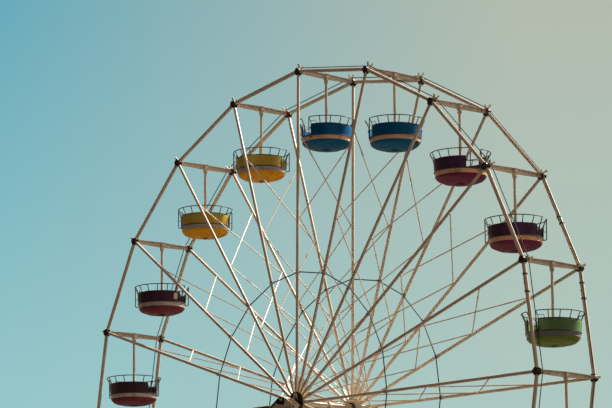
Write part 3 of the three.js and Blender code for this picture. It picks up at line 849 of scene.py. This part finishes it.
def tub_shell():
    """Bowl, wall, seat, the steps inside the gates and the strips over the wall's seams."""
    shape = bowl()
    shape.add(ringed([(0.058, -0.0002), (0.17, -0.0002), (0.17, 0.012), (0.058, 0.012)], 36, 1))
    wall = [(0.852, 0.372), (0.856, 0.44), (0.87, 0.64), (0.878, 0.728), (0.874, 0.738), (0.854, 0.738),
            (0.85, 0.728), (0.838, 0.6), (0.824, 0.395), (0.822, 0.372)]
    shape.add(gated(wall, GATE))
    seat = [(0.452, 0.072), (0.448, 0.38), (0.454, 0.396), (0.47, 0.403), (0.6, 0.398), (0.8, 0.402),
            (0.828, 0.41), (0.828, 0.392), (0.795, 0.236), (0.6, 0.15), (0.47, 0.09)]
    shape.add(gated(seat, GATE))
    for hand in (1, -1):
        shape.add(block(0.33, 2 * GATE, 0.04, 0.004, 1), (hand * 0.62, 0, 0.22))
        shape.add(block(0.02, 2 * GATE, 0.16, 0.003, 1), (hand * 0.452, 0, 0.145))
    for turn in (45, 90, 135, 225, 270, 315):
        lean = unit(on_ring(turn, 0.026, 0.35))
        out = unit(on_ring(turn, 1, -TILT))
        strip = place(on_ring(turn, 0.8665, 0.555), unit(np.cross(lean, out)), lean, out)
        shape.add(block(0.034, 0.33, 0.006, 0.0015), strip)
        shape.bolts(STRIP_BOLT, [(0, -0.13), (0, 0.0), (0, 0.13)], 0.003, 0, strip)
    return shape


def tub_band():
    """The pale band with its rolled lower edge, the ledge over it in painted shade, and a ring of bolts."""
    band = [(0.8, 0.22), (0.82, 0.216), (0.832, 0.219), (0.836, 0.229), (0.833, 0.241), (0.826, 0.246),
            (0.846, 0.345), (0.8, 0.345)]
    ledge = [(0.8, 0.344), (0.846, 0.344), (0.862, 0.348), (0.87, 0.356), (0.872, 0.37), (0.868, 0.38),
             (0.8, 0.38)]
    # The ledge takes paint 2, near black as painted shade.
    shape = ringed(band, 96).add(ringed(ledge, 96, 2))
    for turn in range(10, 370, 20):
        shape.add(BAND_BOLT, facing(on_ring(turn, 0.835, 0.295), on_ring(turn, 1, -0.23)), 1)
    return shape


def edge_trim():
    """The rubber on the edge of one half of the wall, down both sides of its gates."""
    start = math.degrees(math.asin(GATE / WALL_R))
    path = [(0.825, GATE, 0.395), (0.831, GATE, 0.7), on_ring(start + 0.5, WALL_R, 0.737)]
    path += [on_ring(t, WALL_R, 0.745) for t in np.linspace(start + 1.8, 178.2 - start, 41)]
    path += [on_ring(179.5 - start, WALL_R, 0.737), (-0.831, GATE, 0.7), (-0.825, GATE, 0.395)]
    return tube(path, 0.0175, 8, 1)


def rail_path():
    """The rail of one half: it starts in a grab bar at one gate, and stops on a post at the other."""
    x, y, z = on_ring(RAIL_START, RAIL_R, RAIL_HIGH)
    down = [(0.78, y, 0.3), (x - 0.005, y, 0.3), (x, y, z), on_ring(RAIL_START + 4, RAIL_R, RAIL_HIGH)]
    ring = [on_ring(t, RAIL_R, RAIL_HIGH) for t in np.linspace(RAIL_START + 3.5, RAIL_STOP - 3.0, 38)]
    stop = [ring[-1]]
    stop += [on_ring(RAIL_STOP, r, h) for r, h in ((RAIL_R, RAIL_HIGH), (0.868, 0.72), (0.862, 0.385))]
    return [*rounded(down, 0.045)[:-1], *ring, *rounded(stop, 0.04)[1:]]


def half_rail():
    """The rail of one half with its posts, the grab bar's stays, a hand hold and the latch's keeper."""
    shape = tube(rail_path(), 0.016, 8)
    for turn in POST_TURNS:
        shape.add(tube([on_ring(turn, 0.868, 0.72), on_ring(turn, 0.884, 0.79), on_ring(turn, 0.97, 0.978)],
                       0.0148, 8))
        socket = turned([(0.022, 0), (0.022, 0.006), (0.014, 0.014)], 10)
        shape.add(socket, facing(on_ring(turn, 0.866, 0.758), on_ring(turn, 0.1, 1)))
    x, y = on_ring(RAIL_START, RAIL_R)[:2]
    shape.add(tube([(0.828, y, 0.73), (0.86, y, 0.82), (x - 0.012, y, 0.966)], 0.0115, 8))
    shape.add(tube([(0.828, y, 0.56), (x, y, 0.56)], 0.0095, 6))
    hold = [on_ring(t, 0.905, 0.848) for t in (16.0, 19.0, 22.0, 26.0, 29.0)]
    hold += [on_ring(30.0, 0.9, 0.82), on_ring(30.0, 0.872, 0.75)]
    shape.add(tube(hold, 0.009, 6))
    return shape.add(block(0.03, 0.02, 0.07, 0.003), (0.842, GATE + 0.004, 0.62))


def gate_bar():
    """The bar that closes a gate, with its latch, and the sill under it."""
    shape = tube([(0.85, y, 0.592 + 0.5 * y * y) for y in np.linspace(-GATE, GATE, 9)], 0.0085, 6)
    shape.add(block(0.03, 0.05, 0.06, 0.004), (0.852, 0.02 - GATE, 0.62))
    sill = [on_ring(t, 0.872)[:2] for t in np.linspace(-15.4, 15.4, 9)] + [(0.8, 0.232), (0.8, -0.232)]
    return shape.add(slab(sill, 0.014, 0.002, 1), (0, 0, 0.385))


def tub_fittings():
    """Trim, rail, grab bars, gate bars, floor and hub ring."""
    half = edge_trim().add(half_rail()).add(gate_bar())
    shape = Shape().add(half).add(half, spun(180))
    shape.add(ringed([(0.06, 0.07), (0.445, 0.07), (0.445, 0.0755), (0.06, 0.0755)], 48, 2))
    shape.add(ringed([(0.0475, 0.03), (0.11, 0.07), (0.11, 0.09), (0.1, 0.096), (0.075, 0.1), (0.07, 0.15),
                      (0.064, 0.156), (0.0475, 0.156)], 30))
    return shape.bolts(SMALL_BOLT, circle(8, 0.092), 0.096)


def blank_plate():
    """A plain plate on a dark backing, on the wall of one tub."""
    flat = facing(on_ring(-29, 0.87, 0.57), on_ring(-29, 1, -TILT))
    shape = Shape().add(block(0.155, 0.22, 0.006, 0.0015), flat)
    return shape.add(block(0.18, 0.245, 0.004, 0.001, 1), flat @ place((0, 0, -0.003)))


HANGER = hanger()
SHELL = tub_shell()
BAND = tub_band()
FITTINGS = tub_fittings()
for i in range(CABINS):
    number = f"{i + 1:02d}"
    body = "tub_" + number
    slot = TUB_SLOTS[i // 2 % len(TUB_SLOTS)]
    top = place(at_radius(i, RADIUS, 0.0))
    piece("beam_and_pole_" + number, Shape().add(HANGER, top), "hanger_" + number,
          [M_CREAM, M_WEB, M_DARK, M_STEEL, M_BOWL_PAINT_AND_BOUNCE[slot]], ["hanger_" + number])
    tub_at = top @ place((0, 0, -TUB_DROP)) @ spun(TUB_TURNS[i % len(TUB_TURNS)])
    piece("shell_" + number, Shape().add(SHELL, tub_at), body, [M_WALL[slot], M_BOWL_PAINT_AND_BOUNCE[slot]], [body])
    piece("band_" + number, Shape().add(BAND, tub_at), body, [M_BAND[slot], M_RAIL, M_LEDGE_SHADE])
    piece("fittings_" + number, Shape().add(FITTINGS, tub_at), body, [M_RAIL, M_RUBBER, M_DECK])
    if i == 1:
        piece("blank_plate_02", Shape().add(blank_plate(), tub_at), body, [M_PLATE, M_RAIL])


# Towers. The feet and tops of the legs are given for the right leg of the far tower.

HEAD_TOP = 14.35
HEAD_LOW = 14.19
HEAD_HALF = 0.55
FOOT = np.array([4.4, 3.2, 0.2603])
LEG_TOP = np.array([0.3, TOWER_Y, 14.27])
LEG = 0.32
TIE_Z = 6.8
LANDING_TOP = 14.41
LANDING_X = (-1.62, -0.6)
LANDING_Y = (1.5, 1.98)


def leg_at(side, hand, z):
    """The middle of a leg at a height."""
    t = (z - FOOT[2]) / (LEG_TOP[2] - FOOT[2])
    return (FOOT + (LEG_TOP - FOOT) * t) * (hand, side, 1)


def cut_square(size, chamfer):
    """A square with its corners cut off."""
    h = size / 2
    c = h - chamfer
    return [(c, -h), (h, -c), (h, c), (c, h), (-c, h), (-h, c), (-h, -c), (-c, -h)]


def leg(side, hand):
    """A sloping leg, level at both ends, with plates where its lengths meet, and a ribbed foot."""
    square = np.array(cut_square(LEG, 0.018))
    foot = leg_at(side, hand, FOOT[2])
    top = leg_at(side, hand, HEAD_LOW + 0.05)
    shape = loft([at_height(square + end[:2], end[2]) for end in (foot, top)])
    spots = [(x, y) for x in (-0.185, 0.185) for y in (-0.14, -0.05, 0.05, 0.14)]
    spots += [(x, y) for x in (-0.1, 0.0, 0.1) for y in (-0.185, 0.185)]
    for z in (3.6, 10.4):
        joint = facing(leg_at(side, hand, z), top - foot, (0, 1, 0))
        shape.pair(block(0.42, 0.42, 0.026, 0.004), (0, 0, 0.016), joint)
        shape.bolts(BOLT, spots, 0.029, 1, joint)
    shape.add(block(0.42, 0.42, 0.03, 0.004), foot + (0, 0, 0.015))
    shape.bolts(BIG_BOLT, [(x, y) for x in (-0.186, 0.186) for y in (-0.12, 0.12)], 0.03, 1, place(foot))
    for x in (-1, 1):
        shape.add(slab([(0, 0), (0.045, 0), (0, 0.22)], 0.012), upright(foot + (x * 0.15, 0, 0.03), x))
    return shape


def tie_plates(side, hand):
    """The bolted plates on both faces of a leg where the tie meets it."""
    plate = [(-0.1, -0.36), (0.24, -0.3), (0.52, -0.11), (0.52, 0.11), (0.3, 0.3), (-0.06, 0.42)]
    spots = [(0.3, -0.07), (0.3, 0.07), (0.42, -0.07), (0.42, 0.07), (0.0, -0.2), (0.05, 0.22), (0.0, 0.05)]
    shape = Shape()
    for face in (1, -1):
        flat = upright(leg_at(side, hand, TIE_Z) + (0, face * 0.168, 0), -hand, face)
        shape.add(slab(plate, 0.016, 0.003), flat).bolts(BOLT, spots, 0.008, 1, flat)
    return shape


def knee_brace(side, hand):
    """A round brace from the tie up to a leg, with a plate at each end."""
    top = leg_at(side, hand, 8.35)
    low = np.array([hand * 1.4, leg_at(side, hand, TIE_Z)[1], TIE_Z + 0.1])
    plate = slab([(-0.12, -0.14), (0.12, -0.14), (0.14, 0.12), (-0.08, 0.14)], 0.016, 0.002, 1)
    shape = tube([low, top], 0.05, 14)
    for spot in (low, top):
        shape.add(plate, upright(spot, hand))
    return shape


def head_plates(side, hand):
    """The bolted plates that join a leg to the head beam."""
    plate = [(-0.34, -0.04), (0.1, -0.04), (0.1, -0.08), (0.04, -0.5), (-0.2, -0.5), (-0.34, -0.2)]
    shape = Shape()
    for face in (-1, 1):
        spot = (hand * 0.44, side * TOWER_Y + face * 0.17, HEAD_LOW + 0.04)
        shape.add(slab(plate, 0.016), upright(spot, hand))
        shape.bolts(BOLT, [(-0.2, -0.12), (0.0, -0.12), (-0.1, -0.4)], 0.008, 1, upright(spot, hand, face))
    return shape


def flanged(width, height, flange, web, slope):
    """The outline of a beam's section, with flanges that slope to the web."""
    w, h = width / 2, height / 2
    right = [(w, -h), (w, flange - h), (web, flange - h + slope)]
    right += [(x, -y) for x, y in reversed(right)]
    left = [(-x, -y) for x, y in right]
    return left[-1:] + right + left[:-1]


def head_beam(side):
    """The short flanged beam with ribs on top of a tower."""
    middle = np.array([0, side * TOWER_Y, (HEAD_TOP + HEAD_LOW) / 2])
    section = flanged(0.34, HEAD_TOP - HEAD_LOW, 0.018, 0.085, 0.006)
    shape = Shape().add(slab(section, 2 * HEAD_HALF), crosswise(middle))
    for x in np.linspace(-0.45, 0.45, 4):
        shape.add(block(0.012, 0.33, 0.122), middle + (x, 0, 0))
    return shape


def landing(side):
    """The small service landing beside the bearing: bars, a frame and two struts."""
    x, y = sum(LANDING_X) / 2, side * sum(LANDING_Y) / 2
    long, wide = LANDING_X[1] - LANDING_X[0], LANDING_Y[1] - LANDING_Y[0]
    bars = 13
    middle = place((x, y, LANDING_TOP - 0.045))
    shape = Shape().pair(block(long, 0.03, 0.09, 0.003, 1), (0, wide / 2, 0), middle)
    shape.pair(block(0.03, wide, 0.09, 0.003, 1), (long / 2, 0, 0), middle)
    for k in range(bars):
        spot = (x, y - wide / 2 + wide * (k + 0.5) / bars, LANDING_TOP - 0.015)
        shape.add(block(long, 0.008, 0.03, 0.001, 1), spot)
    for hand in (1, -1):
        foot = leg_at(side, -1, 13.2) + (-0.1, hand * 0.14, 0)
        shape.add(tube([foot, (LANDING_X[0] + 0.15, y + hand * 0.19, LANDING_TOP - 0.08)], 0.022, 8, 1))
    return shape


def ladder(side):
    """The ladder up the left leg, with a stay to the leg at every eighth rung."""
    low, high = [leg_at(side, -1, z) + (-0.24, 0, 0) for z in (0.7, 13.6)]
    shape = Shape().pair(tube([low, high], 0.018, 8, 1), (0, 0.2, 0))
    rungs = 43
    for k in range(rungs):
        spot = low + (high - low) * (k + 0.5) / rungs
        shape.add(tube([spot + (0, -0.2, 0), spot + (0, 0.2, 0)], 0.011, 6, 1))
        if k % 8 == 2:
            for y in (-0.2, 0.2):
                shape.add(tube([spot + (0, y, 0), spot + (0.12, y * 0.7, 0)], 0.012, 6, 1))
    return shape


def tower(side):
    """Two legs with a tie and a head beam, and on the near side the ladder with its landing."""
    shape = Shape()
    for hand in (1, -1):
        for part in (leg, tie_plates, knee_brace, head_plates):
            shape.add(part(side, hand))
    tie_x, tie_y = leg_at(side, 1, TIE_Z)[:2]
    shape.add(slab(cut_square(0.22, 0.014), 2 * tie_x), crosswise((0, tie_y, TIE_Z)))
    shape.add(head_beam(side))
    if side < 0:
        shape.add(landing(side)).add(ladder(side))
    return shape


# Bearings and drive

def bearing(side):
    """Made with own Y up and own Z away from the wheel. The drain pipe is on the ladder's side."""
    arch = [on_ring(t, 0.16)[:2] for t in np.linspace(25, 155, 15)]
    body = [(0.16, 0.03), *arch, (-0.16, 0.03), (-0.2, -0.06), (-0.24, -0.1), (0.24, -0.1), (0.2, -0.06)]
    shape = slab(body, 0.3, 0.012)
    foot = [(-0.498, -0.149), (0.498, -0.149), (0.498, -0.108), (0.34, -0.09), (-0.34, -0.09),
            (-0.498, -0.108)]
    shape.add(slab(foot, 2 * BEARING_HALF, 0.005))
    gusset = [(0.1, 0.11), (0.1, -0.1), (0.47, -0.1), (0.47, -0.085), (0.14, 0.12)]
    for x in (-1, 1):
        shape.pair(slab([(x * u, v) for u, v in gusset], 0.03, 0.003), (0, 0, 0.15))
        shape.add(block(0.06, 0.03, 0.2, 0.004), (x * 0.178, 0.002, 0))
        for z in (-0.06, 0.06):
            shape.add(BIG_BOLT, lying((x * 0.182, 0.017, z)), 2)
            shape.add(BIG_BOLT, lying((x * 0.42, -0.104, z)), 2)
    seal = ringed([(0.104, 0.148), (0.132, 0.148), (0.132, 0.162), (0.126, 0.168), (0.104, 0.168)], 36, 1)
    for end in (1, -1):
        shape.add(seal, flipped(end=end)).bolts(SMALL_BOLT, circle(6, 0.118), 0.168, 2, flipped(end=end))
    pipe = [(-0.06, 0.15, 0.15), (-0.14, 0.125, 0.19), (-0.49, -0.085, 0.19), (-0.515, -0.16, 0.19),
            (-0.515, -0.32, 0.19)]
    shape.add(tube(rounded(pipe, 0.03), 0.026, 10, 2))
    for x, y in ((-0.2, 0.069), (-0.4, -0.051)):
        shape.add(block(0.04, 0.075, 0.03, 0.003, 2), (x, y, 0.18))
    shape.add(turned([(0.012, 0), (0.012, 0.02), (0.006, 0.03)], 8, 1), lying((0, 0.139, 0)))
    return Shape().add(shape, upright((0, side * TOWER_Y, HUB_Z), 1, side))


def gear_unit():
    """Own X right, own Y up, own Z along the axle away from the wheel, from the far bearing's face."""
    middle = 0.19
    shape = Shape().add(slab(cut_square(0.36, 0.05), 0.3, 0.012), (0, 0, middle))
    shape.add(ringed([(0.11, 0.0), (0.165, 0.0), (0.165, 0.03), (0.155, 0.044), (0.11, 0.044)], 36))
    for k in range(9):
        shape.add(block(0.008, 0.376, 0.26), (0.038 * (k - 4), 0, middle))
    shape.add(ringed([(0.1, 0.33), (0.16, 0.33), (0.165, 0.345), (0.16, 0.362), (0.1, 0.362)], 36, 1))
    shape.bolts(BOLT, circle(10, 0.138), 0.362, 1)
    return shape.add(turned([(0.085, 0.35), (0.085, 0.405), (0.07, 0.418)], 30, 1))


both_sides(tower, "leg_tower", "tower", "supports", [M_CREAM, M_DARK])
both_sides(bearing, "axle_bearing", "bearing", "supports", [M_CREAM, M_GREASE, M_DARK])
SEAT_GAP = 0.0003
at_far_bearing = upright((0, TOWER_Y + BEARING_HALF + SEAT_GAP, HUB_Z))
piece("gear_unit", Shape().add(gear_unit(), at_far_bearing), "supports", [M_DARK, M_STEEL],
      ["drive_gearbox"])


# Base frame

BASE_X, BASE_Y, BASE_H = 4.68, 3.42, 0.26
LONG_BEAM, CROSS_BEAM = 0.36, 0.44
FLANGE = 0.022


def wide_beam(length, width):
    """An upright flanged beam along X, standing on Z 0, with ribs."""
    middle = BASE_H / 2
    shape = Shape().add(slab(flanged(width, BASE_H, FLANGE, 0.04, 0.012), length), crosswise((0, 0, middle)))
    for x in np.arange(-length / 2 + 0.35, length / 2 - 0.2, 0.9):
        shape.add(block(0.014, width - 0.03, BASE_H - 2 * FLANGE), (x, 0, middle))
    return shape


def base_frame():
    """Two long beams, two cross beams between them, end plates and bolts."""
    beam_y = BASE_Y - LONG_BEAM / 2
    cross_x = BASE_X - CROSS_BEAM / 2
    long_beam = wide_beam(2 * BASE_X, LONG_BEAM)
    cross_beam = wide_beam(2 * (BASE_Y - LONG_BEAM) + 0.02, CROSS_BEAM)
    shape = Shape()
    for side in (1, -1):
        shape.add(long_beam, (0, side * beam_y, 0))
        shape.add(cross_beam, place((side * cross_x, 0, 0), (0, 1, 0), (-1, 0, 0)))
        end_plate = block(0.014, LONG_BEAM - 0.002, BASE_H - 0.004)
        shape.pair(end_plate, (BASE_X - 0.008, 0, 0), place((0, side * beam_y, BASE_H / 2)))
        for end in (1, -1):
            corner = place((end * cross_x, side * beam_y, FLANGE))
            shape.bolts(BIG_BOLT, [(x, y) for y in (-0.13, 0.13) for x in (-0.15, 0.15)], 0.0, 1, corner)
        spots = [(x, side * beam_y + y) for x in (-2.4, 0.0, 2.4) for y in (-0.12, 0.12)]
        shape.bolts(BIG_BOLT, spots, FLANGE, 1)
    return shape


piece("base_beams", base_frame(), "supports", [M_BASE, M_STEEL], ["base_frame"])


def deck(side):
    """A boarding platform of three levels, with posts, edge trim and a nosing on the cabins' side."""
    inner = 1.12
    outer = BASE_Y - LONG_BEAM - SEAT_GAP
    middle, width = side * (inner + outer) / 2, outer - inner
    shape = Shape()
    for level in range(3):
        reach = 2.1 + 0.3 * level
        top = 0.5 - 0.17 * level
        shape.add(block(2 * reach, width, 0.03, 0.004), (0, middle, top - 0.015))
        shape.add(block(2 * reach - 0.03, width - 0.03, top - 0.04, 0.004, 1), (0, middle, (top - 0.04) / 2))
        trim = block(0.03, width - 0.004, 0.036, 0.004, 2)
        shape.pair(trim, (reach - 0.014, 0, 0), place((0, middle, top - 0.017)))
        if level == 0:
            for x in np.arange(-1.8, 1.81, 0.6):
                for y in (inner + 0.006, outer - 0.006):
                    shape.add(block(0.05, 0.016, top - 0.05, 0.003, 1), (x, side * y, (top - 0.05) / 2))
    return shape.add(block(4.2, 0.05, 0.034, 0.004, 2), (0, side * (inner + 0.026), 0.484))


both_sides(deck, "deck", "platform", "supports", [M_DECK, M_BASE, M_STEEL])


# Floor, light and camera

def direction(turn, rise):
    """The direction at a turn about Z and a rise above the ground, in degrees."""
    a, b = math.radians(turn), math.radians(rise)
    return np.array([math.cos(a) * math.cos(b), math.sin(a) * math.cos(b), math.sin(b)])


HUB = np.array([0, 0, HUB_Z])
YAW, PITCH, ROLL = -49.82, 11.40, -0.40
AHEAD = direction(90 - YAW, PITCH)
TO_RIGHT = direction(-YAW, 0)
TO_SUN = direction(86, 45)
TO_GLOW = unit((0.05, 0.97, 0.25))


def floor():
    """A plain pale disc, which throws only a little light back up."""
    n = Paint("pale_floor")
    pale = n.mix(n.ramp(n.noise(0.35, 4.0), 0.3, 0.7), (0.2, 0.2, 0.195), (0.23, 0.23, 0.225))
    seen = n.make("ShaderNodeLightPath", {}).outputs["Is Camera Ray"]
    n.shader(Base_Color=n.mix(seen, (0.07, 0.055, 0.045), pale), Specular_IOR_Level=0.0,
             Roughness=n.ramp(n.noise(3.0), 0.3, 0.7, 0.75, 0.9))
    sides, reach, level = 96, 420.0, -0.004
    mesh = bpy.data.meshes.new("floor")
    mesh.from_pydata(at_height(circle(sides, reach), level).tolist(), [], [tuple(range(sides))])
    mesh.materials.append(n.material)
    link_object("floor", mesh)


def studio():
    """A pale backdrop for the camera, and a soft light, warmer and stronger on the sun's side."""
    world = bpy.data.worlds.new("studio")
    world.use_nodes = True
    bpy.context.scene.world = world
    n = Nodes(world.node_tree)
    n.tree.nodes.clear()
    way = n.make("ShaderNodeTexCoord", {}).outputs["Generated"]
    across = n.ramp(n.along(way, TO_RIGHT), -0.107, 0.075)
    upward = n.ramp(n.along(way, (0, 0, 1)), 0.13, 0.265)
    low = n.mix(across, (0.305, 0.565, 0.591), (0.42, 0.575, 0.53))
    high = n.mix(across, (0.138, 0.408, 0.503), (0.45, 0.505, 0.425))
    glow = n.mix(n.ramp(n.along(way, TO_GLOW), -0.6, 1.0), (0.048, 0.042, 0.04), (0.73, 0.525, 0.39))
    lit, seen = [n.make("ShaderNodeBackground", {"Color": colour}).outputs["Background"]
                 for colour in (glow, n.mix(upward, low, high))]
    by_camera = n.make("ShaderNodeLightPath", {}).outputs["Is Camera Ray"]
    blend = n.make("ShaderNodeMixShader", {"Fac": by_camera, 1: lit, 2: seen})
    n.make("ShaderNodeOutputWorld", {"Surface": blend.outputs["Shader"]})


def sun():
    light = bpy.data.lights.new("key", "SUN")
    light.energy = 9.0
    light.color = (1.0, 0.94, 0.85)
    light.angle = math.radians(6)
    link_object("key", light).matrix_world = Matrix(facing(HUB + TO_SUN * 90, TO_SUN).tolist())


def camera():
    """The photograph's view: its place is given in radii of the wheel from the hub."""
    lens = bpy.data.cameras.new("camera")
    lens.sensor_width = 36.0
    lens.lens = 166.8
    lens.clip_end = 2000
    eye = np.array([6.340, -5.422, -1.072]) * RADIUS + HUB
    level = place(eye, TO_RIGHT, np.cross(TO_RIGHT, AHEAD), -AHEAD)
    obj = link_object("camera", lens)
    obj.matrix_world = Matrix((level @ spun(ROLL)).tolist())
    bpy.context.scene.camera = obj
    bpy.context.scene.view_settings.view_transform = "Standard"


floor()
studio()
sun()
camera()

bpy.context.view_layer.update()
